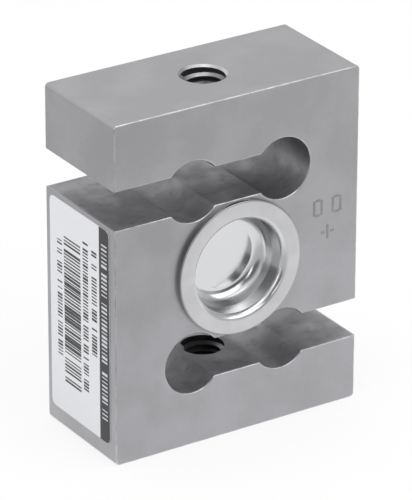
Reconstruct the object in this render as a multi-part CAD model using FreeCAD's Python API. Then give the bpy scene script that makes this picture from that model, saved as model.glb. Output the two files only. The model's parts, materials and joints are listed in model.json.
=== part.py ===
import FreeCAD, Part
import math
import os
from FreeCAD import Vector

# S type load cell: a stainless S-shaped spring body, sealed with two welded cups.
# Millimetres. +Z is the load axis, -Y the front face, and the origin is the mouth
# of the lower threaded hole, on the face that the cell stands on.

bodyWidth = 50.8          # along X
bodyHeight = 65.2         # along Z, between the two loading faces
bodyDepth = 23.0          # along Y
cornerRadius = 0.8        # long edges of the block, seen from the front
faceChamfer = 0.3         # broken edges of the front and rear faces

slotOffset = 16.6         # slot centreline above and below mid-height
slotHeight = 7.3
lobeOffset = 9.3          # lobe centres either side of the load axis
lobeRadius = 5.8

boreRadius = 10.2         # gauge chamber through the middle block
threadRadius = 4.0        # M8 loading threads, major radius
threadChamfer = 0.4

cableHoleRadius = 3.0     # passage from the chamber to the right-hand side face
cableNeckRadius = 1.8
glandHoleRadius = 3.5
glandHoleDepth = 8.0
headerSeat = 12.2         # X of the shoulder that the glass header sits on

flangeRadius = 12.7       # sealing cups
flangeProud = 1.0
flangeEdge = 0.2
flangeInnerRadius = 10.4
cupWallRadius = 9.1
cupDepth = 5.2
cupFloorRadius = 6.3
cupCove = ((7.75, 4.55), (8.5, 3.5))    # radius and depth along the cove round the floor
cupShoulder = (8.85, 2.4)               # where the cove's top meets the wall
cupSheet = 0.45            # floor thickness
cupBackRadius = 9.45       # turned outside of the cup, behind the spigot
cupBackChamfer = 0.4
lipSteps = 2              # flats that stand for the rounded lip
spigotRadius = 10.15
spigotDepth = 1.4

labelFrontY = -9.6        # side label, on the left-hand face
labelBackY = 10.1
labelLow = 3.4
labelHigh = 44.7
labelCorner = 1.3
labelThickness = 0.12

gaugeLength = 6.0         # along Y
gaugeAngle = 28.0         # degrees of the chamber wall
gaugeFoil = 0.12
tabLength = 1.1
tabAngle = 6.0
tabHeight = 0.2
tabSpread = 8.0           # degrees from the gauge's centreline to each tab

padRadius = 5.5           # parts bonded to the rear cup, inside the chamber
padThickness = 0.8
boardRadius = 7.6
boardThickness = 1.0
leadRadius = 0.2

headerThickness = 1.6     # glass header that carries the signals out
glassRadius = 2.1
pinRadius = 0.25
pinCircle = 1.1
pinInner = 10.6
pinOuter = 15.4

glandAcrossFlats = 8.0    # low cable gland
glandHead = 2.6
gasketThickness = 0.4
gasketRadius = 3.95
shankLength = 7.0
glandBore = 2.9
grommetBore = 1.9
grommetLength = 5.0
washerThickness = 0.5
screwLength = 2.6
screwSlot = 0.9

midHeight = bodyHeight / 2
halfWidth = bodyWidth / 2
halfDepth = bodyDepth / 2
lobeAngle = math.degrees(math.atan2(slotOffset, lobeOffset))
chamberHalf = halfDepth - cupDepth - cupSheet
boardFace = chamberHalf - padThickness - boardThickness

X = Vector(1, 0, 0)
Y = Vector(0, 1, 0)
Z = Vector(0, 0, 1)


def ring(outer, inner, start, length, axis=X, centre=None):
    """A washer-like tube of revolution along an axis."""
    centre = centre or Vector(0, 0, midHeight)
    base = centre + axis * start
    tube = Part.makeCylinder(outer, length, base, axis)
    if inner > 0:
        tube = tube.cut(Part.makeCylinder(inner, length, base, axis))
    return tube


def edgesWhere(shape, test):
    """The edges whose two ends and middle all pass a test on their position."""
    picked = []
    for edge in shape.Edges:
        middle = edge.valueAt((edge.FirstParameter + edge.LastParameter) / 2)
        spots = [vertex.Point for vertex in edge.Vertexes] + [middle]
        if all(test(spot) for spot in spots):
            picked.append(edge)
    return picked


def slotVoid(side):
    """One slot with its two lobes; side is +1 for the upper slot, which opens to -X."""
    level = midHeight + side * slotOffset
    closedEnd = side * lobeOffset
    openEnd = -side * (halfWidth + 5)
    low = min(closedEnd, openEnd)
    corner = Vector(low, -halfDepth - 1, level - slotHeight / 2)
    void = Part.makeBox(abs(openEnd - closedEnd), bodyDepth + 2, slotHeight, corner)
    for lobe in (-lobeOffset, lobeOffset):
        centre = Vector(lobe, -halfDepth - 1, level)
        void = void.fuse(Part.makeCylinder(lobeRadius, bodyDepth + 2, centre, Y))
    return void.removeSplitter()


def threadHole(mouth, inward):
    """A loading thread's bore with a countersunk mouth."""
    beam = midHeight - slotOffset - slotHeight / 2
    bore = Part.makeCylinder(threadRadius, beam + 2, mouth, inward)
    sink = Part.makeCone(threadRadius + threadChamfer, threadRadius, threadChamfer, mouth, inward)
    return bore.fuse(sink)


def springBody():
    block = Part.makeBox(bodyWidth, bodyDepth, bodyHeight, Vector(-halfWidth, -halfDepth, 0))
    block = block.cut(slotVoid(1)).cut(slotVoid(-1))
    corners = edgesWhere(block, lambda p: abs(abs(p.x) - halfWidth) < 0.01
                         and min(p.z, bodyHeight - p.z) < 0.01)
    corners = [edge for edge in corners if abs(edge.tangentAt(edge.FirstParameter).y) > 0.9]
    block = block.makeFillet(cornerRadius, corners)
    faceEdges = edgesWhere(block, lambda p: abs(abs(p.y) - halfDepth) < 0.01)
    block = block.makeChamfer(faceChamfer, faceEdges)
    block = block.cut(ring(boreRadius, 0, -halfDepth - 1, bodyDepth + 2, Y))
    block = block.cut(threadHole(Vector(0, 0, 0), Z))
    block = block.cut(threadHole(Vector(0, 0, bodyHeight), -Z))
    block = block.cut(ring(cableNeckRadius, 0, 0, halfWidth))
    block = block.cut(ring(cableHoleRadius, 0, headerSeat, halfWidth - headerSeat))
    block = block.cut(ring(glandHoleRadius, 0, halfWidth - glandHoleDepth, glandHoleDepth + 1))
    return block


def cup(side):
    """A turned sealing cup; side is -1 for the front and +1 for the rear."""
    lip = flangeInnerRadius - cupWallRadius
    well = [(0, cupDepth), (cupFloorRadius, cupDepth), *cupCove, cupShoulder]
    well.append((cupWallRadius, lip - flangeProud))
    corners = [(flangeRadius, 0), (flangeRadius, flangeEdge - flangeProud),
               (flangeRadius - flangeEdge, -flangeProud)]
    for step in range(lipSteps):
        turn = math.pi / 2 * step / lipSteps
        corners.append((flangeInnerRadius - lip * math.sin(turn), lip - flangeProud - lip * math.cos(turn)))
    back = cupDepth + cupSheet
    corners += well[::-1]
    corners += [(0, back), (cupBackRadius - cupBackChamfer, back), (cupBackRadius, back - cupBackChamfer),
                (cupBackRadius, spigotDepth), (spigotRadius, spigotDepth), (spigotRadius, 0), (flangeRadius, 0)]
    outline = [Vector(radius, depth, 0) for radius, depth in corners]
    profile = Part.Face(Part.makePolygon(outline))
    shape = profile.revolve(Vector(0, 0, 0), Y, 360)
    if side > 0:
        shape = shape.mirror(Vector(0, 0, 0), Y)
    shape.translate(Vector(0, side * halfDepth, midHeight))
    return shape


def sideLabel():
    size = (labelThickness, labelBackY - labelFrontY, labelHigh - labelLow)
    corner = Vector(-halfWidth - labelThickness, labelFrontY, labelLow)
    plate = Part.makeBox(*size, corner)
    across = [edge for edge in plate.Edges if abs(edge.tangentAt(edge.FirstParameter).x) > 0.9]
    return plate.makeFillet(labelCorner, across)


def wallPatch(angle, spread, inner, outer, low, high):
    """A patch of the chamber wall, centred on an angle above +X."""
    start = Vector(inner, low, 0)
    face = Part.Face(Part.makePolygon([start, Vector(outer, low, 0), Vector(outer, high, 0),
                                       Vector(inner, high, 0), start]))
    patch = face.revolve(Vector(0, 0, 0), Y, spread)
    patch.rotate(Vector(0, 0, 0), Y, -angle - spread / 2)
    patch.translate(Vector(0, 0, midHeight))
    return patch


def gauge(angle):
    """A foil gauge bonded to the chamber wall, with its two solder tabs."""
    face = boreRadius - gaugeFoil
    foil = wallPatch(angle, gaugeAngle, face, boreRadius, -gaugeLength / 2, gaugeLength / 2)
    tabLow = -gaugeLength / 2 + 0.5
    for turn in (-tabSpread, tabSpread):
        foil = foil.fuse(wallPatch(angle + turn, tabAngle, face - tabHeight, face + 0.02,
                                   tabLow, tabLow + tabLength))
    return foil


def wire(points):
    """A thin lead of six flats along straight runs that meet at mitred corners."""
    heading = (points[1] - points[0]).normalize()
    side = heading.cross(Z if abs(heading.y) > 0.9 else Y).normalize()
    other = heading.cross(side)
    turns = [math.radians(60 * flat) for flat in range(7)]
    corners = [points[0] + side * (leadRadius * math.cos(turn)) + other * (leadRadius * math.sin(turn))
               for turn in turns]
    mitred = 1
    return Part.Wire(Part.makePolygon(points)).makePipeShell([Part.makePolygon(corners)], True, True, mitred)


def gaugeLead(angle, turn):
    """A lead from one gauge tab to the rim of the board."""
    direction = math.radians(angle + turn)
    radial = Vector(math.cos(direction), 0, math.sin(direction))
    centre = Vector(0, 0, midHeight)
    level = -gaugeLength / 2 + 0.5 + tabLength / 2
    tabFace = boreRadius - gaugeFoil - tabHeight
    tabTop = centre + radial * tabFace + Y * level
    # the lead's flat end meets the curved tab at two of its corners only
    tabTop = tabTop - radial * (tabFace - math.sqrt(tabFace ** 2 - leadRadius ** 2))
    corner = centre + radial * (boardRadius - 0.8) + Y * level
    landing = Vector(corner.x, boardFace, corner.z)
    return wire([tabTop, corner, landing])


def board():
    disc = ring(boardRadius, 0, boardFace, boardThickness, Y)
    notch = Part.makeBox(2.0, boardThickness, 1.2, Vector(-1.0, boardFace, midHeight - boardRadius))
    return disc.cut(notch)


def chip(x, z, length, width, height, upright=False):
    """A chip resistor soldered to the front of the board."""
    if upright:
        length, width = width, length
    corner = Vector(x - length / 2, boardFace - height, midHeight + z - width / 2)
    block = Part.makeBox(length, height, width, corner)
    front = edgesWhere(block, lambda p: abs(p.y - corner.y) < 0.01)
    return block.makeChamfer(0.12, front)


def headerPin(angle):
    y = pinCircle * math.cos(math.radians(angle))
    z = midHeight + pinCircle * math.sin(math.radians(angle))
    return Part.makeCylinder(pinRadius, pinOuter - pinInner, Vector(pinInner, y, z), X)


def headerGlass():
    glass = ring(glassRadius, 0, headerSeat, headerThickness)
    for angle in pinAngles:
        glass = glass.cut(headerPin(angle))
    return glass


def signalLead(angle):
    """A lead from the board to the inner end of one header pin."""
    pin = headerPin(angle).BoundBox.Center
    landingX = 5.6 if pin.y > 0 else 4.2
    return wire([Vector(landingX, boardFace, pin.z), Vector(landingX, pin.y, pin.z),
                 Vector(pinInner, pin.y, pin.z)])


def hexagon(acrossFlats, start, length):
    """A hexagonal bar along +X with two flats facing front and rear."""
    corners = [Vector(start, acrossFlats / math.sqrt(3) * math.sin(math.radians(60 * k)),
                      midHeight + acrossFlats / math.sqrt(3) * math.cos(math.radians(60 * k)))
               for k in range(7)]
    return Part.Face(Part.makePolygon(corners)).extrude(X * length)


def glandBody():
    """The gland's hexagon head and its threaded shank, bored for the seal."""
    seat = halfWidth + gasketThickness
    radius = glandAcrossFlats / math.sqrt(3)
    crown = Part.makeCone(radius + 0.6, radius - 0.45, 1.05, Vector(seat + glandHead - 1.05, 0, midHeight), X)
    crown = crown.fuse(ring(radius + 0.6, 0, seat, glandHead - 1.05))
    head = hexagon(glandAcrossFlats, seat, glandHead).common(crown)
    shank = ring(glandHoleRadius, 0, halfWidth - shankLength, shankLength + gasketThickness)
    body = head.fuse(shank).removeSplitter()
    shoulder = halfWidth - shankLength + 0.8
    body = body.cut(ring(grommetBore + 0.3, 0, halfWidth - shankLength, 1.0))
    return body.cut(ring(glandBore, 0, shoulder, seat + glandHead - shoulder))


def glandScrew(start):
    """The slotted screw that squeezes the grommet."""
    screw = ring(glandBore, grommetBore, start, screwLength)
    slot = Part.makeBox(screwSlot, 2 * glandBore, 1.0,
                        Vector(start + screwLength - screwSlot, -glandBore, midHeight - 0.5))
    return screw.cut(slot)


pinAngles = (45, 135, 225, 315)
gaugeAngles = {1: lobeAngle, 2: 180 - lobeAngle, 3: 180 + lobeAngle, 4: 360 - lobeAngle}
grommetStart = halfWidth - shankLength + 0.8
washerStart = grommetStart + grommetLength
screwStart = washerStart + washerThickness

nodes = {
    "spring_body": springBody(),
    "front_cup": cup(-1),
    "rear_cup": cup(1),
    "side_label": sideLabel(),
    "board_pad": ring(padRadius, 0, boardFace + boardThickness, padThickness, Y),
    "bridge_board": board(),
    "zero_balance_resistor": chip(-2.4, 3.0, 3.2, 1.6, 0.6),
    "zero_temperature_resistor": chip(-2.4, 0.6, 3.2, 1.6, 0.6),
    "span_resistor_upper": chip(1.6, 2.9, 3.2, 1.6, 0.8, upright=True),
    "span_resistor_lower": chip(1.6, -2.9, 3.2, 1.6, 0.8, upright=True),
    "trim_resistor": chip(-2.4, -2.4, 2.0, 1.25, 0.5),
    "header_shell": ring(cableHoleRadius, glassRadius, headerSeat, headerThickness),
    "header_glass": headerGlass(),
    "gland_gasket": ring(gasketRadius, glandHoleRadius, halfWidth, gasketThickness),
    "gland_body": glandBody(),
    "gland_grommet": ring(glandBore, grommetBore, grommetStart, grommetLength),
    "gland_washer": ring(glandBore, grommetBore, washerStart, washerThickness),
    "gland_screw": glandScrew(screwStart),
}
for number, angle in gaugeAngles.items():
    nodes[f"strain_gauge_{number}"] = gauge(angle)
    nodes[f"gauge_lead_{number}_a"] = gaugeLead(angle, -tabSpread)
    nodes[f"gauge_lead_{number}_b"] = gaugeLead(angle, tabSpread)
for number, angle in enumerate(pinAngles, 1):
    nodes[f"header_pin_{number}"] = headerPin(angle)
    nodes[f"signal_lead_{number}"] = signalLead(angle)

os.makedirs("parts", exist_ok=True)
for name, shape in nodes.items():
    if not shape.isValid() or shape.Volume <= 0:
        raise RuntimeError(f"{name} is not a sound solid")
    shape.exportStep(f"parts/{name}.step")
    box = shape.BoundBox
    print(f"{name}: {len(shape.Solids)} solid, {shape.Volume:.2f} mm3, "
          f"x {box.XMin:.2f}..{box.XMax:.2f}, y {box.YMin:.2f}..{box.YMax:.2f}, "
          f"z {box.ZMin:.2f}..{box.ZMax:.2f}")
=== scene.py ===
import json
import math

import bmesh
import bpy
from mathutils import Matrix, Vector, geometry


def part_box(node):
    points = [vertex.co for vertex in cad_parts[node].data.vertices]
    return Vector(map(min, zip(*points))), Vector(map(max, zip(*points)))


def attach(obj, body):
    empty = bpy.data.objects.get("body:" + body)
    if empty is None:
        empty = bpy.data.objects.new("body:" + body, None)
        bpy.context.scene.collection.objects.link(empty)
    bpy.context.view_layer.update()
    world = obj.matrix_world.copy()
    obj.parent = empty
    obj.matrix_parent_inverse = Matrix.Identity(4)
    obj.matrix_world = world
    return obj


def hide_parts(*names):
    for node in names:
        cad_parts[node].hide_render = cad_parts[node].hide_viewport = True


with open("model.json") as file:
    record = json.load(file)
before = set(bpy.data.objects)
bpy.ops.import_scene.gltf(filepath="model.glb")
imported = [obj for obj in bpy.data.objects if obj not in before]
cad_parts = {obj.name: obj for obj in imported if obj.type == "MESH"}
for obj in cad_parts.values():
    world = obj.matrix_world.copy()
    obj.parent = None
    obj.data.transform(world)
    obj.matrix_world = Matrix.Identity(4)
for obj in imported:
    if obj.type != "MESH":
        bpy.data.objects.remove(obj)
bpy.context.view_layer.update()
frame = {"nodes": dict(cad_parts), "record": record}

mm = 0.001
nodes = frame["nodes"]
bodyLow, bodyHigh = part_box("spring_body")
labelLow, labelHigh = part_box("side_label")
middle = Vector(((bodyLow.x + bodyHigh.x) / 2, (bodyLow.y + bodyHigh.y) / 2,
                 (bodyLow.z + bodyHigh.z) / 2))


class Field:
    # a node socket that takes part in sums, so that node maths reads as arithmetic
    def __init__(self, tree, socket):
        self.tree = tree
        self.socket = socket

    def node(self, kind, settings=None, sockets=None, output=0):
        return addNode(self.tree, kind, settings, sockets, output)

    def math(self, operation, *others):
        kind = "ShaderNodeMath"
        values = {0: self}
        for place, other in enumerate(others, 1):
            values[place] = other
        return self.node(kind, {"operation": operation}, values)

    def __add__(self, other):
        return self.math("ADD", other)

    def __sub__(self, other):
        return self.math("SUBTRACT", other)

    def __mul__(self, other):
        return self.math("MULTIPLY", other)

    def __truediv__(self, other):
        return self.math("DIVIDE", other)

    def __rsub__(self, other):
        return self * -1 + other

    __radd__ = __add__
    __rmul__ = __mul__

    def ramp(self, low, high, fromValue=0.0, toValue=1.0):
        # a smooth step from one value to another
        sockets = {"Value": self, "From Min": low, "From Max": high,
                   "To Min": fromValue, "To Max": toValue}
        return self.node("ShaderNodeMapRange", {"interpolation_type": "SMOOTHSTEP"}, sockets)


def addNode(tree, kind, settings=None, sockets=None, output=0):
    node = tree.nodes.new(kind)
    for name, value in (settings or {}).items():
        setattr(node, name, value)
    for key, value in (sockets or {}).items():
        if isinstance(value, Field):
            tree.links.new(value.socket, node.inputs[key])
        else:
            node.inputs[key].default_value = value
    return Field(tree, node.outputs[output])


def newMaterial(name):
    material = bpy.data.materials.new(name)
    material.use_nodes = True
    tree = material.node_tree
    shader = tree.nodes["Principled BSDF"]
    place = addNode(tree, "ShaderNodeTexCoord", output=3)  # Object coordinates
    return material, tree, shader, place


def connect(shader, socketName, field):
    shader.id_data.links.new(field.socket, shader.inputs[socketName])


def noise(place, scale, detail=2.0, roughness=0.5):
    sockets = {"Vector": place, "Scale": scale, "Detail": detail, "Roughness": roughness}
    return place.node("ShaderNodeTexNoise", {}, sockets)


def tint(place, factor, first, second):
    # two colours mixed by a field
    mix = place.tree.nodes.new("ShaderNodeMix")
    mix.data_type = "RGBA"
    place.tree.links.new(factor.socket, mix.inputs[0])
    mix.inputs[6].default_value = (*first, 1)
    mix.inputs[7].default_value = (*second, 1)
    return Field(place.tree, mix.outputs[2])


def blended(place, factor, first, second):
    # a colour field mixed with a plain colour
    mixed = tint(place, factor, (0, 0, 0), second)
    place.tree.links.new(first.socket, mixed.socket.node.inputs[6])
    return mixed


def bump(place, height, strength, distance):
    sockets = {"Height": height, "Strength": strength, "Distance": distance}
    return place.node("ShaderNodeBump", {}, sockets)


def fromMiddle(place):
    # how far across, deep and up a point lies from the body's middle
    split = place.node("ShaderNodeSeparateXYZ", {}, {"Vector": place}).socket.node
    return [Field(place.tree, split.outputs[axis]) - centre for axis, centre in zip("XYZ", middle)]


body = {
    "cornerRadius": 0.8 * mm,
    "slotOffset": 16.6 * mm,
    "slotHeight": 7.3 * mm,
    "lobeOffset": 9.3 * mm,
    "lobeRadius": 5.8 * mm,
    "boreRadius": 10.2 * mm,
    "threadRadius": 4.0 * mm,
    "threadChamfer": 0.4 * mm,
    "edge": 0.22 * mm,         # rounding of the front and rear edges
    "edgeSteps": 3,
    "cornerSteps": 6,
    "lobeSteps": 56,
    "boreSteps": 96,
    "threadSteps": 96,
    "cableSteps": 48,
    "smoothUpTo": 34,          # degrees between faces
    # the wiring passage on the right: radius and distance from the middle
    "cable": ((1.8, 9.0), (1.8, 12.2), (3.0, 12.2), (3.0, 17.4), (3.5, 17.4), (3.5, 26.4)),
}
# thickness of the solid beam between an end face and its slot
beam = middle.z - body["slotOffset"] - body["slotHeight"] / 2 - bodyLow.z

steelLook = {
    "colour": (0.455, 0.452, 0.476),
    "cloudAndTopShade": (0.380, 0.379, 0.393),
    "stainAndShade": (0.25, 0.247, 0.26),      # cutting oil stains in the slots with painted shade over every slot wall; also the painted contact shadow round each cup
    "stainRange": (0.26, 0.66),        # painted shade alone on the cleanest slot wall, and shade with the most oil stain on the most stained
    "spotStain": 0.25,
    "rise": 0.55,                      # painted shade: the body darkens a little towards its top
    "contactShadow": 0.15,                      # painted contact shadow on the faces round each cup's foot
    "contactShadowRing": (12.7 * mm, 13.05 * mm),
    "roughness": 0.36,
    "grainRoughness": 0.08,
    "cloudRoughness": 0.05,
    "stainRoughness": 0.15,
    "grain": (0.12, 0.02 * mm),        # strength and depth of the fine bump
    # sizes of the patterns, in features to the metre
    "cloudScale": 90,
    "blotScale": 150,
    "spotScale": 520,
    "grainScale": 2600,
}


def satinSteel(name, look):
    material, tree, shader, place = newMaterial(name)
    clouds = noise(place, look["cloudScale"], 4)
    blots = noise(place, look["blotScale"], 3, 0.5)
    spots = noise(place, look["spotScale"], 4, 0.6)
    grain = noise(place, look["grainScale"], 3, 0.6)
    across, depth, up = fromMiddle(place)
    halfSize = (bodyHigh - bodyLow) / 2
    margin = body["edge"]
    # masks: in reach of a slot, behind the front and rear faces, and inside the left and right faces
    level = up.math("ABSOLUTE") - body["slotOffset"]
    inSlot = 1 - level.math("ABSOLUTE").ramp(body["lobeRadius"], body["lobeRadius"] * 1.05)
    behindFace = 1 - depth.math("ABSOLUTE").ramp(halfSize.y - 2 * margin, halfSize.y - margin)
    acrossBody = 1 - across.math("ABSOLUTE").ramp(halfSize.x - 2 * margin, halfSize.x - margin)
    # blotchy oil stains on a painted shade that darkens every slot wall
    patchy = blots.ramp(0.38, 0.6, *look["stainRange"]) + spots.ramp(0.5, 0.7) * look["spotStain"]
    stainAndShade = inSlot * behindFace * acrossBody * patchy
    radius = (across * across + up * up).math("SQRT")
    # painted contact shadow: a thin dark ring round each cup's foot on the front and rear faces
    contactShadow = (1 - radius.ramp(*look["contactShadowRing"])) * (1 - behindFace) * look["contactShadow"]
    # painted shade, darker towards the top
    rise = up.ramp(-halfSize.z, halfSize.z, 0.0, look["rise"])
    # random clouds and spots of tone, with the painted top shade
    mottleAndShade = clouds.ramp(0.35, 0.7) * 0.6 + spots.ramp(0.45, 0.75) * 0.2 + rise
    plain = tint(place, mottleAndShade, look["colour"], look["cloudAndTopShade"])
    dark = stainAndShade.math("MAXIMUM", contactShadow)
    uneven = grain * look["grainRoughness"] + clouds * look["cloudRoughness"]
    connect(shader, "Base Color", blended(place, dark, plain, look["stainAndShade"]))
    connect(shader, "Roughness", look["roughness"] + uneven + dark * look["stainRoughness"])
    connect(shader, "Normal", bump(place, grain, *look["grain"]))
    shader.inputs["Metallic"].default_value = 1
    return material


cupLook = {
    "polish": (0.69, 0.695, 0.705),
    "flange": (0.64, 0.64, 0.662),
    # the flange's mottled patches and the painted dark reflection on its outer edge
    "mottleAndShade": (0.36, 0.36, 0.37),
    "flangeRise": (0.80 * mm, 0.95 * mm),      # where the flange begins, outside the body's face
    "paintedEdgeReflection": (12.35 * mm, 12.5 * mm),      # radii between which the flange's rounded edge is darkened, a painted dark reflection
    "wall": (6.6 * mm, 7.6 * mm),              # radii between which the floor turns into the wall
    "edgeShade": 0.85,
    "patchScale": 260,
    "patchShade": 0.16,
    "cloudScale": 120,
    "cloudShade": 0.1,
    "grooveScale": 5200,
    "groove": (0.05, 0.01 * mm),               # strength and depth of the turning marks
    "roughness": 0.095,
    "flangeRoughness": 0.245,                  # added to the floor's, as are the next three
    "wallRoughness": 0.08,
    "grooveRoughness": 0.04,
    "cloudRoughness": 0.03,
}


def polishedSteel(name, look):
    material, tree, shader, place = newMaterial(name)
    across, depth, up = fromMiddle(place)
    depth = depth.math("ABSOLUTE")
    radius = (across * across + up * up).math("SQRT")
    flange = depth.ramp(*[bodyHigh.y - middle.y + rise for rise in look["flangeRise"]])
    wall = radius.ramp(*look["wall"]) * (1 - flange)
    ringPlace = radius.node("ShaderNodeCombineXYZ", {}, {"X": radius, "Y": depth})
    grooves = noise(ringPlace, look["grooveScale"], 2)
    clouds = noise(place, look["cloudScale"], 3)
    patches = noise(place, look["patchScale"], 4)
    # painted dark reflection on the flange's rounded outer edge
    paintedEdgeReflection = radius.ramp(*look["paintedEdgeReflection"]) * look["edgeShade"]
    patchy = (patches.ramp(0.35, 0.65) * look["patchShade"]
              + clouds.ramp(0.35, 0.65) * look["cloudShade"]) * flange
    plain = tint(place, flange, look["polish"], look["flange"])
    roughness = look["roughness"] + flange * look["flangeRoughness"] + wall * look["wallRoughness"]
    uneven = grooves * look["grooveRoughness"] + clouds * look["cloudRoughness"]
    connect(shader, "Base Color", blended(place, paintedEdgeReflection.math("MAXIMUM", patchy), plain, look["mottleAndShade"]))
    connect(shader, "Roughness", roughness + uneven)
    connect(shader, "Normal", bump(place, grooves, *look["groove"]))
    shader.inputs["Metallic"].default_value = 1
    return material


def plainFinish(name, colour, roughness, metal=0.0, speckle=400, relief=0.15, shade=0.86):
    # one colour with a speckle of it times shade; speckle is in spots to the metre
    material, tree, shader, place = newMaterial(name)
    grain = noise(place, speckle, 3)
    darker = tuple(value * shade for value in colour)
    connect(shader, "Base Color", tint(place, grain.ramp(0.3, 0.7), colour, darker))
    connect(shader, "Roughness", grain * 0.1 + (roughness - 0.05))
    connect(shader, "Normal", bump(place, grain, relief, 0.04 * mm))
    shader.inputs["Metallic"].default_value = metal
    return material


bodySteel = satinSteel("body_satin_steel", steelLook)
# painted highlight on the rounded edges of the front and rear faces and on the thread holes' chamfers
edgeHighlightSteel = plainFinish("body_edge_painted_highlight", (0.62, 0.62, 0.635), 0.3, metal=1.0, speckle=480,
                        relief=0.05, shade=0.7)
# painted shade on the thread holes' walls, between the thread ridges
boreShadeSteel = plainFinish("thread_root_painted_shade", (0.11, 0.11, 0.115), 0.45, metal=1.0, speckle=900, relief=0.1)
threadSteel = plainFinish("thread_steel", (0.30, 0.30, 0.315), 0.33, metal=1.0, speckle=1500, relief=0.1)
punchSteel = plainFinish("punched_steel", (0.32, 0.32, 0.333), 0.42, metal=1.0, speckle=500,
                         relief=0.1, shade=0.85)
cupSteel = polishedSteel("cup_polish", cupLook)
labelWhite = plainFinish("label_white", (0.76, 0.77, 0.795), 0.38, speckle=60, relief=0.0, shade=0.985)
labelInk = plainFinish("label_ink", (0.035, 0.035, 0.04), 0.5, speckle=300, relief=0.0, shade=0.9)
labelPale = plainFinish("label_pale_print", (0.62, 0.63, 0.66), 0.42, speckle=300, relief=0.0, shade=0.95)
print("materials ready")


def newObject(name, mesh, *materials):
    item = bpy.data.objects.new(name, mesh)
    bpy.context.scene.collection.objects.link(item)
    for material in materials:
        mesh.materials.append(material)
    return item


def smoothByAngle(mesh, degrees):
    mesh.polygons.foreach_set("use_smooth", [True] * len(mesh.polygons))
    mesh.set_sharp_from_angle(angle=math.radians(degrees))


def bakeModifiers(item):
    # turns the evaluated object into a plain mesh and drops its modifiers
    graph = bpy.context.evaluated_depsgraph_get()
    mesh = bpy.data.meshes.new_from_object(item.evaluated_get(graph))
    item.modifiers.clear()
    item.data = mesh
    return item


def arc(centre, radius, start, stop, steps):
    # points on a circle from one angle to another, in degrees
    angles = [math.radians(start + (stop - start) * step / steps) for step in range(steps + 1)]
    return [(centre[0] + radius * math.cos(a), centre[1] + radius * math.sin(a)) for a in angles]


def roundedPath(corners, steps=14):
    # corners are (radius, depth, rounding); each rounding becomes a short tangent arc
    path = []
    for place, (x, y, rounding) in enumerate(corners):
        if rounding == 0 or place in (0, len(corners) - 1):
            path.append((x, y))
            continue
        corner = Vector((x, y))
        before = (Vector(corners[place - 1][:2]) - corner).normalized()
        after = (Vector(corners[place + 1][:2]) - corner).normalized()
        half = before.angle(after) / 2
        reach = rounding / math.tan(half)
        centre = corner + (before + after).normalized() * (rounding / math.sin(half))
        first = corner + before * reach - centre
        last = corner + after * reach - centre
        sweep = first.angle_signed(last)
        for step in range(steps + 1):
            turned = Matrix.Rotation(-sweep * step / steps, 2) @ first
            path.append(tuple(centre + turned))
    return path


def lathe(path, segments, axis, origin, stepFinish=()):
    # a closed shell turned from a profile of (radius, height) that starts and ends on the axis;
    # stepFinish gives the material index of each step of the profile, where it isn't all 0
    side = Vector((axis.y, axis.z, axis.x))
    other = axis.cross(side)
    shape = bmesh.new()
    rings = []
    for radius, height in path:
        base = origin + axis * height
        if radius < 1e-9:
            rings.append([shape.verts.new(base)])
            continue
        turns = [2 * math.pi * step / segments for step in range(segments)]
        rings.append([shape.verts.new(base + radius * (side * math.cos(t) + other * math.sin(t)))
                      for t in turns])
    for place, (first, second) in enumerate(zip(rings, rings[1:])):
        for step in range(segments):
            following = (step + 1) % segments
            if len(first) == 1:
                corners = (first[0], second[step], second[following])
            elif len(second) == 1:
                corners = (first[step], second[0], first[following])
            else:
                corners = (first[step], second[step], second[following], first[following])
            shape.faces.new(corners).material_index = stepFinish[place] if stepFinish else 0
    bmesh.ops.recalc_face_normals(shape, faces=shape.faces)
    mesh = bpy.data.meshes.new("turned")
    shape.to_mesh(mesh)
    shape.free()
    return mesh


def lowerHalfOutline():
    # from the lower left corner, along the bottom and round the lower slot, seen from the front
    halfWidth = (bodyHigh.x - bodyLow.x) / 2
    bottom = bodyLow.z - middle.z
    corner = body["cornerRadius"]
    half = body["slotHeight"] / 2
    lobe = body["lobeRadius"]
    offset = body["lobeOffset"]
    level = -body["slotOffset"]
    rise = math.degrees(math.asin(half / lobe))
    steps = body["lobeSteps"]
    few = body["cornerSteps"]
    points = arc((-halfWidth + corner, bottom + corner), corner, 180, 270, few)
    points += arc((halfWidth - corner, bottom + corner), corner, 270, 360, few)
    points.append((halfWidth, level - half))
    points += arc((offset, level), lobe, 360 - rise, 180 + rise, steps // 3)
    points += arc((-offset, level), lobe, 360 - rise, rise, steps)
    points += arc((offset, level), lobe, 180 - rise, rise, steps // 3)
    points.append((halfWidth, level + half))
    return points


def inset(loop, reach):
    # the loop moved sideways into the solid, which lies on its left
    moved = []
    for place, point in enumerate(loop):
        before = (Vector(point) - Vector(loop[place - 1])).normalized()
        after = (Vector(loop[(place + 1) % len(loop)]) - Vector(point)).normalized()
        left = Vector((-before.y - after.y, before.x + after.x)) / (1 + before.dot(after))
        moved.append(tuple(Vector(point) + left * reach))
    return moved


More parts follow.
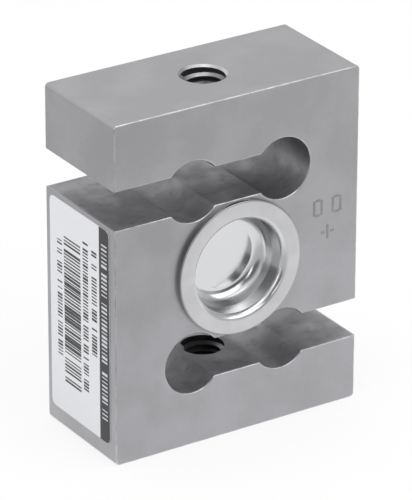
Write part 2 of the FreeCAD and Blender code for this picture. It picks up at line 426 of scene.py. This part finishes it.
def extrudedBody():
    half = lowerHalfOutline()
    outline = half + [(-x, -z) for x, z in half]
    hole = arc((0, 0), body["boreRadius"], 360, 0, body["boreSteps"])[:-1]
    shape = bmesh.new()

    def row(loop, reach, depth):
        # one ring of corners for the front and one for the rear
        flat = [(middle.x + x, middle.z + z) for x, z in inset(loop, reach)]
        return [[shape.verts.new((x, y, z)) for x, z in flat]
                for y in (bodyLow.y + depth, bodyHigh.y - depth)]

    faces = []
    for loop in (outline, hole):
        # rounded edges in steps from the side wall to the face
        turns = [math.pi / 2 * step / body["edgeSteps"] for step in range(body["edgeSteps"] + 1)]
        rows = [row(loop, body["edge"] * (1 - math.cos(turn)), body["edge"] * (1 - math.sin(turn)))
                for turn in turns]
        # the side wall keeps the plain steel; the rounded strips take the painted edge highlight
        strips = [(rows[0][0], rows[0][1], 0)]
        for first, second in zip(rows, rows[1:]):
            strips += [(first[0], second[0], 1), (first[1], second[1], 1)]
        for first, second, index in strips:
            for step in range(len(loop)):
                following = (step + 1) % len(loop)
                corners = (first[step], first[following], second[following], second[step])
                shape.faces.new(corners).material_index = index
        faces.append((inset(loop, body["edge"]), rows[-1]))
    flatLoops = [[Vector((*point, 0)) for point in loop] for loop, _ in faces]
    triangles = geometry.tessellate_polygon(flatLoops)
    for side in (0, 1):
        corners = [vertex for _, last in faces for vertex in last[side]]
        for triangle in triangles:
            shape.faces.new([corners[place] for place in triangle])
    bmesh.ops.recalc_face_normals(shape, faces=shape.faces)
    bmesh.ops.dissolve_limit(shape, angle_limit=math.radians(0.5), verts=shape.verts, edges=shape.edges,
                             delimit={"MATERIAL"})
    mesh = bpy.data.meshes.new("spring_body_block")
    shape.to_mesh(mesh)
    shape.free()
    return newObject("springBody", mesh, bodySteel, edgeHighlightSteel, boreShadeSteel)


def holeCutters():
    radius = body["threadRadius"]
    chamfer = body["threadChamfer"]
    # from 1 mm outside the end face, down the chamfer, to 1 mm inside the slot
    profile = [(0, -mm), (radius + chamfer + mm, -mm), (radius, chamfer),
               (radius, beam + mm), (0, beam + mm)]
    holeFinish = (0, 1, 2, 0)  # painted highlight on the chamfer, and painted shade for the thread roots on the wall
    up = Vector((0, 0, 1))
    cable = [(0, body["cable"][0][1] * mm)] + [(r * mm, x * mm) for r, x in body["cable"]]
    cable.append((0, body["cable"][-1][1] * mm))
    steps = body["threadSteps"]
    return [
        lathe(profile, steps, up, Vector((middle.x, middle.y, bodyLow.z)), holeFinish),
        lathe(profile, steps, -up, Vector((middle.x, middle.y, bodyHigh.z)), holeFinish),
        lathe(cable, body["cableSteps"], Vector((1, 0, 0)), middle),
    ]


def springBody():
    block = extrudedBody()
    for mesh in holeCutters():
        cutter = newObject("cutter", mesh, bodySteel, edgeHighlightSteel, boreShadeSteel)
        cut = block.modifiers.new("hole", "BOOLEAN")
        cut.operation = "DIFFERENCE"
        cut.solver = "EXACT"
        cut.object = cutter
        bakeModifiers(block)
        bpy.data.objects.remove(cutter)
    smoothByAngle(block.data, body["smoothUpTo"])
    weighted = block.modifiers.new("flat_faces", "WEIGHTED_NORMAL")
    weighted.keep_sharp = True
    bakeModifiers(block)
    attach(block, "root")
    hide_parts("spring_body")
    return block


springBody()
print("spring body ready")


cup = {
    "segments": 192,
    "smoothUpTo": 40,
    # radius, depth below the body's face and rounding, from the floor's centre to the flange's foot
    "seen": ((0, 5.2, 0), (6.35, 5.2, 1.8), (8.0, 4.85, 2.6), (8.87, 2.45, 0.9), (9.11, -1.0, 1.25),
             (12.7, -1.0, 0.2), (12.7, 0.0, 0)),
    # the hidden back, from the flange's foot to its centre
    "hidden": ((10.15, 0.0, 0), (10.15, 1.4, 0), (9.45, 1.4, 0), (9.45, 5.25, 0), (9.05, 5.65, 0),
               (0, 5.65, 0)),
}


def sealingCup(name, node, face, inward):
    corners = [(r * mm, d * mm, f * mm) for r, d, f in cup["seen"] + cup["hidden"]]
    origin = Vector((middle.x, face, middle.z))
    mesh = lathe(roundedPath(corners), cup["segments"], inward, origin)
    smoothByAngle(mesh, cup["smoothUpTo"])
    piece = newObject(name, mesh, cupSteel)
    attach(piece, "root")
    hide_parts(node)


sealingCup("frontCup", "front_cup", bodyLow.y, Vector((0, 1, 0)))
sealingCup("rearCup", "rear_cup", bodyHigh.y, Vector((0, -1, 0)))
print("sealing cups ready")


class Recipe:
    # a geometry node tree with named inputs, ending in Realize Instances and Set Material
    def __init__(self, name, inputs):
        self.tree = bpy.data.node_groups.new(name, "GeometryNodeTree")
        self.tree.interface.new_socket("Geometry", in_out="OUTPUT", socket_type="NodeSocketGeometry")
        self.tree.interface.new_socket("Geometry", in_out="INPUT", socket_type="NodeSocketGeometry")
        self.keys = {}
        for label, kind in inputs.items():
            socket = self.tree.interface.new_socket(label, in_out="INPUT", socket_type=kind)
            self.keys[label] = socket.identifier
        self.entry = self.tree.nodes.new("NodeGroupInput")

    def given(self, label):
        return Field(self.tree, self.entry.outputs[label])

    def node(self, kind, settings=None, sockets=None, output=0):
        return addNode(self.tree, kind, settings, sockets, output)

    def end(self, shape, material):
        realized = self.node("GeometryNodeRealizeInstances", {}, {"Geometry": shape})
        dressed = self.node("GeometryNodeSetMaterial", {}, {"Geometry": realized, "Material": material})
        out = self.tree.nodes.new("NodeGroupOutput")
        self.tree.links.new(dressed.socket, out.inputs[0])
        return self

    def build(self, name, material, values):
        piece = newObject(name, bpy.data.meshes.new(name))
        maker = piece.modifiers.new("recipe", "NODES")
        maker.node_group = self.tree
        for label, value in values.items():
            maker[self.keys[label]] = value
        bakeModifiers(piece)
        if not piece.data.materials:
            piece.data.materials.append(material)
        return piece


thread = {
    "pitch": 1.25 * mm,
    "crest": 3.35 * mm,        # radius of the ridge's top
    "crestWidth": 0.16 * mm,
    "rootWidth": 1.08 * mm,
    "sink": 0.03 * mm,         # the ridge starts inside the wall
    "slotGap": 0.1 * mm,       # between the ridge and the slot
    "stepsPerTurn": 72,
    "smoothUpTo": 30,
}


def threadRecipe():
    recipe = Recipe("screw_thread", {"Turns": "NodeSocketFloat", "Height": "NodeSocketFloat",
                                     "Radius": "NodeSocketFloat", "Reach": "NodeSocketFloat",
                                     "Root": "NodeSocketFloat", "Crest": "NodeSocketFloat",
                                     "Place": "NodeSocketVector"})
    turns = recipe.given("Turns")
    radius = recipe.given("Radius")
    path = recipe.node("GeometryNodeCurveSpiral", {}, {
        "Resolution": thread["stepsPerTurn"], "Rotations": turns, "Start Radius": radius,
        "End Radius": radius, "Height": recipe.given("Height")})
    upright = recipe.node("GeometryNodeSetCurveNormal", {"mode": "Z_UP"}, {"Curve": path})
    root = recipe.given("Root") / 2
    crest = recipe.given("Crest") / 2
    reach = recipe.given("Reach")
    zero = reach * 0
    corners = [(zero, root), (reach, crest), (reach, crest * -1), (zero, root * -1)]
    points = [recipe.node("ShaderNodeCombineXYZ", {}, {"X": x, "Y": y}) for x, y in corners]
    section = recipe.node("GeometryNodeCurvePrimitiveQuadrilateral", {"mode": "POINTS"}, {
        f"Point {place}": point for place, point in enumerate(points, 1)})
    ridge = recipe.node("GeometryNodeCurveToMesh", {}, {
        "Curve": upright, "Profile Curve": section, "Fill Caps": True})
    placed = recipe.node("GeometryNodeTransform", {}, {"Geometry": ridge,
                                                       "Translation": recipe.given("Place")})
    return recipe.end(placed, threadSteel)


def threads():
    recipe = threadRecipe()
    clear = body["threadChamfer"] + thread["rootWidth"] / 2
    height = beam - clear - thread["slotGap"] - thread["rootWidth"] / 2
    root = body["threadRadius"] + thread["sink"]
    for name, low in (("lowerThread", bodyLow.z + clear), ("upperThread", bodyHigh.z - clear - height)):
        piece = recipe.build(name, threadSteel, {
            "Turns": height / thread["pitch"], "Height": height, "Radius": root,
            "Reach": root - thread["crest"], "Root": thread["rootWidth"],
            "Crest": thread["crestWidth"], "Place": (middle.x, middle.y, low)})
        smoothByAngle(piece.data, thread["smoothUpTo"])
        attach(piece, "root")


threads()
print("threads ready")


# thin plates on the front face that stand for shallow punched strokes, in mm from the body's middle
# and its bottom face
punched = {
    "zeros": (16.9, 20.9),     # across
    "zeroLevel": 39.6,
    "zeroSize": (1.6, 2.9),    # between the middles of its strokes
    "plus": (19.0, 34.6),
    "plusArm": 0.8,
    "plusPost": 2.8,
    "stroke": 0.5,             # width of every stroke
    "depth": 0.03,
}


def strokePlan():
    # each stroke's centre across and up, width and height
    stroke = punched["stroke"]
    width, height = punched["zeroSize"]
    level = punched["zeroLevel"]
    plan = []
    for x in punched["zeros"]:
        for side in (-0.5, 0.5):
            plan.append((x + side * width, level, stroke, height))
            plan.append((x, level + side * height, width - stroke, stroke))
    x, z = punched["plus"]
    arm = punched["plusArm"]
    plan.append((x, z, stroke, punched["plusPost"]))
    plan += [(x + side, z, arm, stroke) for side in (-1, 1)]  # apart from the post
    return plan


def punchedStrokes():
    shape = bmesh.new()
    for x, z, width, height in strokePlan():
        place = Matrix.Translation((middle.x + x * mm, bodyLow.y, bodyLow.z + z * mm))
        size = Matrix.Diagonal((width * mm, punched["depth"] * mm, height * mm, 1))
        bmesh.ops.create_cube(shape, size=1, matrix=place @ size)
    mesh = bpy.data.meshes.new("punchedStrokes")
    shape.to_mesh(mesh)
    shape.free()
    piece = newObject("punchedStrokes", mesh, punchSteel)
    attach(piece, "root")


punchedStrokes()
print("punched strokes ready")


label = {
    "corner": 1.3 * mm,
    "band": 3.2 * mm,          # dark band along the front edge
    "film": 0.10 * mm,
    "ink": 0.02 * mm,
    "cornerSteps": 10,
}


def roundedPlate(name, low, high, thickness, corners, material, radius):
    # a flat plate on the left side face; corners says which of the four are round
    places = ((high[0], high[1], 0), (low[0], high[1], 90),
              (low[0], low[1], 180), (high[0], low[1], 270))
    outline = []
    for (y, z, start), rounded in zip(places, corners):
        if not rounded:
            outline.append((y, z))
            continue
        inY = y - radius if start in (0, 270) else y + radius
        inZ = z - radius if start in (0, 90) else z + radius
        outline += arc((inY, inZ), radius, start, start + 90, label["cornerSteps"])
    shape = bmesh.new()
    back, front = thickness
    inner = [shape.verts.new((back, y, z)) for y, z in outline]
    outer = [shape.verts.new((front, y, z)) for y, z in outline]
    shape.faces.new(inner)
    shape.faces.new(outer[::-1])
    for step in range(len(outline)):
        following = (step + 1) % len(outline)
        shape.faces.new((inner[following], inner[step], outer[step], outer[following]))
    bmesh.ops.recalc_face_normals(shape, faces=shape.faces)
    mesh = bpy.data.meshes.new(name)
    shape.to_mesh(mesh)
    shape.free()
    piece = newObject(name, mesh, material)
    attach(piece, "root")
    return piece


def barRecipe():
    # short printed bars in a row along Z; a share of them is left out, and their heights vary
    recipe = Recipe("printed_bars", {"Count": "NodeSocketInt", "Pitch": "NodeSocketFloat",
                                     "Thin": "NodeSocketFloat", "Thick": "NodeSocketFloat",
                                     "Width": "NodeSocketFloat", "Depth": "NodeSocketFloat",
                                     "Kept": "NodeSocketFloat", "Seed": "NodeSocketInt",
                                     "Place": "NodeSocketVector", "Ink": "NodeSocketMaterial"})
    step = recipe.node("ShaderNodeCombineXYZ", {}, {"Z": recipe.given("Pitch") * -1})
    line = recipe.node("GeometryNodeMeshLine", {}, {
        "Count": recipe.given("Count"), "Start Location": recipe.given("Place"), "Offset": step})
    seed = recipe.given("Seed")
    chance = recipe.node("FunctionNodeRandomValue", {}, {"Seed": seed}, output=1)
    kept = recipe.node("FunctionNodeCompare", {"operation": "LESS_THAN"}, {
        0: chance, 1: recipe.given("Kept")})
    spread = recipe.node("FunctionNodeRandomValue", {}, {"Seed": seed + 7}, output=1)
    widest = recipe.given("Thick") - recipe.given("Thin")
    height = recipe.given("Thin") + spread * spread * widest
    size = recipe.node("ShaderNodeCombineXYZ", {}, {
        "X": recipe.given("Depth"), "Y": recipe.given("Width"), "Z": height})
    block = recipe.node("GeometryNodeMeshCube", {}, {"Size": (1, 1, 1)})
    bars = recipe.node("GeometryNodeInstanceOnPoints", {}, {
        "Points": line, "Selection": kept, "Instance": block, "Scale": size})
    return recipe.end(bars, recipe.given("Ink"))


# each row in mm: its width, its centre from the label's rear edge, its start below the label's top, its
# length, and its bars' pitch and heights; kept is the share of bars that are printed
printRows = {
    "codeBars": {"across": 5.5, "centre": 7.45, "start": 6.6, "length": 29.4, "pitch": 0.64,
                 "thin": 0.22, "thick": 0.8, "kept": 0.94, "seed": 11},
    "rowOne": {"across": 1.7, "centre": 14.8, "start": 5.2, "length": 21.2, "pitch": 0.62,
               "thin": 0.22, "thick": 0.52, "kept": 0.84, "seed": 3},
    "rowTwo": {"across": 1.7, "centre": 11.9, "start": 5.2, "length": 29.5, "pitch": 0.62,
               "thin": 0.22, "thick": 0.52, "kept": 0.8, "seed": 5},
    "rowThree": {"across": 1.6, "centre": 3.2, "start": 7.8, "length": 23.0, "pitch": 0.62,
                 "thin": 0.18, "thick": 0.42, "kept": 0.8, "seed": 8},
    "bandRow": {"across": 1.8, "centre": 18.15, "start": 3.2, "length": 35.0, "pitch": 0.8,
                "thin": 0.2, "thick": 0.55, "kept": 0.85, "seed": 21, "pale": True},
}


def sideLabel():
    face = bodyLow.x
    film = (face, face - label["film"])
    printed = (film[1], film[1] - label["ink"])
    low = (labelLow.y, labelLow.z)
    high = (labelHigh.y, labelHigh.z)
    plate = roundedPlate("labelFilm", low, high, film, (True,) * 4, labelWhite, label["corner"])
    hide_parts("side_label")
    bandEdge = labelLow.y + label["band"]
    roundedPlate("labelBand", low, (bandEdge, labelHigh.z), printed, (False, True, True, False),
                 labelInk, label["corner"])
    recipe = barRecipe()
    for name, row in printRows.items():
        pale = row.get("pale", False)
        ink = labelPale if pale else labelInk
        piece = recipe.build(name, ink, {
            "Count": int(row["length"] / row["pitch"]), "Pitch": row["pitch"] * mm,
            "Thin": row["thin"] * mm, "Thick": row["thick"] * mm, "Width": row["across"] * mm,
            "Depth": label["ink"] * (4 if pale else 2),  # half of it is sunk; the band lies under pale ink
            "Kept": row["kept"],
            "Seed": row["seed"], "Ink": ink,
            "Place": (film[1], labelHigh.y - row["centre"] * mm, labelHigh.z - row["start"] * mm)})
        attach(piece, "root")


sideLabel()
print("side label ready")


innerFinish = {
    "gauge_foil": plainFinish("gauge_foil", (0.55, 0.30, 0.08), 0.4),
    "lead_wire": plainFinish("lead_enamel", (0.55, 0.07, 0.04), 0.3),
    "pad": plainFinish("silicone_pad", (0.78, 0.78, 0.75), 0.6),
    "board": plainFinish("board_resist", (0.03, 0.19, 0.07), 0.3),
    "resistor": plainFinish("chip_resistor", (0.04, 0.04, 0.045), 0.45),
    "pin": plainFinish("pin_gold", (0.83, 0.60, 0.25), 0.25, metal=1.0),
    "header_glass": plainFinish("sealing_glass", (0.10, 0.20, 0.24), 0.12),
    "gland_steel": plainFinish("gland_turned_steel", (0.40, 0.40, 0.415), 0.3, metal=1.0, speckle=900,
                               relief=0.1),
    "seal_rubber": plainFinish("seal_rubber", (0.02, 0.02, 0.021), 0.6, speckle=900, relief=0.3),
}
for entry in frame["record"]["subparts"]:
    finish = innerFinish.get(entry["material_slot"])
    if finish is None:
        continue
    item = nodes[entry["node"]]
    item.data.materials.clear()
    item.data.materials.append(finish)
print("inner parts ready")


studio = {
    "azimuth": -32.95,
    "elevation": 25.15,
    "roll": 0.167,
    "distance": 0.77575,
    "aside": (-0.623 * mm, 1.296 * mm),
    "lens": 313.9,
    "floor": 3.0,              # half its width
    "floorGap": 0.01 * mm,
    "skyLevel": 0.85,          # what the room gives to matt surfaces
    # the room in reflections: how dark it is and its azimuth, the directions that count as in front of
    # that azimuth (cosines), and the heights between which it darkens and lightens again (sines)
    "roomShade": 0.88,
    "roomTurn": -12,
    "roomFront": (0.3, 0.85),
    "roomLow": (-0.12, 0.0),
    "roomHigh": (0.60, 0.82),
    "rightShade": 0.5,         # the same for its right side
    "rightTurn": 75,
    "rightFront": (0.2, 0.7),
    "floorGlow": 0.8,
    # the floor's left side in reflections: its level, azimuth and distances
    "leftFloor": 0.48,
    "leftTurn": -60,
    "leftReach": (22 * mm, 68 * mm),
}

lamps = {
    # azimuth, elevation, distance, width and height, radiance
    "keyLamp": (27, 34, 0.6, (0.58, 0.30), 1.52),
    "stripLamp": (-16, 11, 0.6, (0.09, 0.18), 2.2),
    "leftLamp": (-84, 27, 0.6, (0.24, 0.28), 0.8),
    "topLamp": (0, 86, 0.6, (0.50, 0.40), 1.45),
}


def towards(azimuth, elevation):
    # a direction from the object, with azimuths counted from the front
    turn = math.radians(azimuth)
    tilt = math.radians(elevation)
    return Vector((math.sin(turn) * math.cos(tilt), -math.cos(turn) * math.cos(tilt), math.sin(tilt)))


def camera():
    back = towards(studio["azimuth"], studio["elevation"])
    right = towards(studio["azimuth"] + 90, 0)
    up = back.cross(right)
    roll = math.radians(studio["roll"])
    right, up = (right * math.cos(roll) + up * math.sin(roll),
                 up * math.cos(roll) - right * math.sin(roll))
    place = middle + back * studio["distance"] - right * studio["aside"][0] - up * studio["aside"][1]
    data = bpy.data.cameras.new("camera")
    data.lens = studio["lens"]
    data.sensor_width = 36
    data.clip_start = 0.01
    item = bpy.data.objects.new("camera", data)
    item.matrix_world = Matrix((
        (right.x, up.x, back.x, place.x), (right.y, up.y, back.y, place.y),
        (right.z, up.z, back.z, place.z), (0, 0, 0, 1)))
    bpy.context.scene.collection.objects.link(item)
    bpy.context.scene.camera = item


def softbox(name, azimuth, elevation, distance, size, radiance):
    direction = towards(azimuth, elevation)
    data = bpy.data.lights.new(name, "AREA")
    data.shape = "RECTANGLE"
    data.size, data.size_y = size
    data.energy = radiance * math.pi * size[0] * size[1]
    item = bpy.data.objects.new(name, data)
    item.location = middle + direction * distance
    item.rotation_euler = direction.to_track_quat("Z", "Y").to_euler()
    bpy.context.scene.collection.objects.link(item)


def cameraRay(tree):
    # 1 for rays straight from the camera
    return Field(tree, tree.nodes.new("ShaderNodeLightPath").outputs["Is Camera Ray"])


def shownToView(tree):
    # 1 for rays from the camera, in reflections and through glass
    path = tree.nodes.new("ShaderNodeLightPath")
    seen = [Field(tree, path.outputs[name]) for name in
            ("Is Camera Ray", "Is Glossy Ray", "Is Transmission Ray")]
    return seen[0].math("MAXIMUM", seen[1]).math("MAXIMUM", seen[2])


def along(direction, axis):
    # a vector's reach along an axis; for a direction it goes from -1 to 1
    settings = {"operation": "DOT_PRODUCT"}
    return direction.node("ShaderNodeVectorMath", settings, {0: direction, 1: axis}, output=1)


def backdrop():
    world = bpy.data.worlds.new("studio")
    bpy.context.scene.world = world
    world.use_nodes = True
    tree = world.node_tree
    shown = shownToView(tree)
    background = tree.nodes["Background"]
    background.inputs["Color"].default_value = (1, 1, 1, 1)
    toSky = addNode(tree, "ShaderNodeTexCoord")
    split = toSky.node("ShaderNodeSeparateXYZ", {}, {"Vector": toSky})
    height = Field(tree, split.socket.node.outputs["Z"])
    band = height.ramp(*studio["roomLow"]) * (1 - height.ramp(*studio["roomHigh"]))
    facing = along(toSky, towards(studio["roomTurn"], 0)).ramp(*studio["roomFront"])
    rightward = along(toSky, towards(studio["rightTurn"], 0)).ramp(*studio["rightFront"])
    room = (facing * studio["roomShade"]).math("MAXIMUM", rightward * studio["rightShade"]) * band
    direct = cameraRay(tree)
    mirrored = (shown - direct) * (1 - room)
    level = direct + mirrored + (1 - shown) * studio["skyLevel"]
    tree.links.new(level.socket, background.inputs["Strength"])


def floor():
    shape = bmesh.new()
    bmesh.ops.create_grid(shape, x_segments=1, y_segments=1, size=studio["floor"])
    mesh = bpy.data.meshes.new("floor")
    shape.to_mesh(mesh)
    shape.free()
    material, tree, shader, place = newMaterial("floor_white")
    shader.inputs["Base Color"].default_value = (0.9, 0.9, 0.9, 1)
    shader.inputs["Roughness"].default_value = 0.9
    shader.inputs["Specular IOR Level"].default_value = 0.0
    glow = tree.nodes.new("ShaderNodeEmission")
    blend = tree.nodes.new("ShaderNodeMixShader")
    leftward = along(place, towards(studio["leftTurn"], 0))
    dimmed = leftward.ramp(*studio["leftReach"], 1.0, studio["leftFloor"])
    tree.links.new(cameraRay(tree).math("MAXIMUM", dimmed).socket, glow.inputs["Color"])
    tree.links.new((shownToView(tree) * studio["floorGlow"]).socket, blend.inputs[0])
    tree.links.new(shader.outputs[0], blend.inputs[1])
    tree.links.new(glow.outputs[0], blend.inputs[2])
    tree.links.new(blend.outputs[0], tree.nodes["Material Output"].inputs["Surface"])
    item = newObject("floor", mesh, material)
    item.location.z = bodyLow.z - studio["floorGap"]


camera()
backdrop()
floor()
for name, settings in lamps.items():
    softbox(name, *settings)
bpy.context.scene.view_settings.view_transform = "Standard"
print("studio ready")
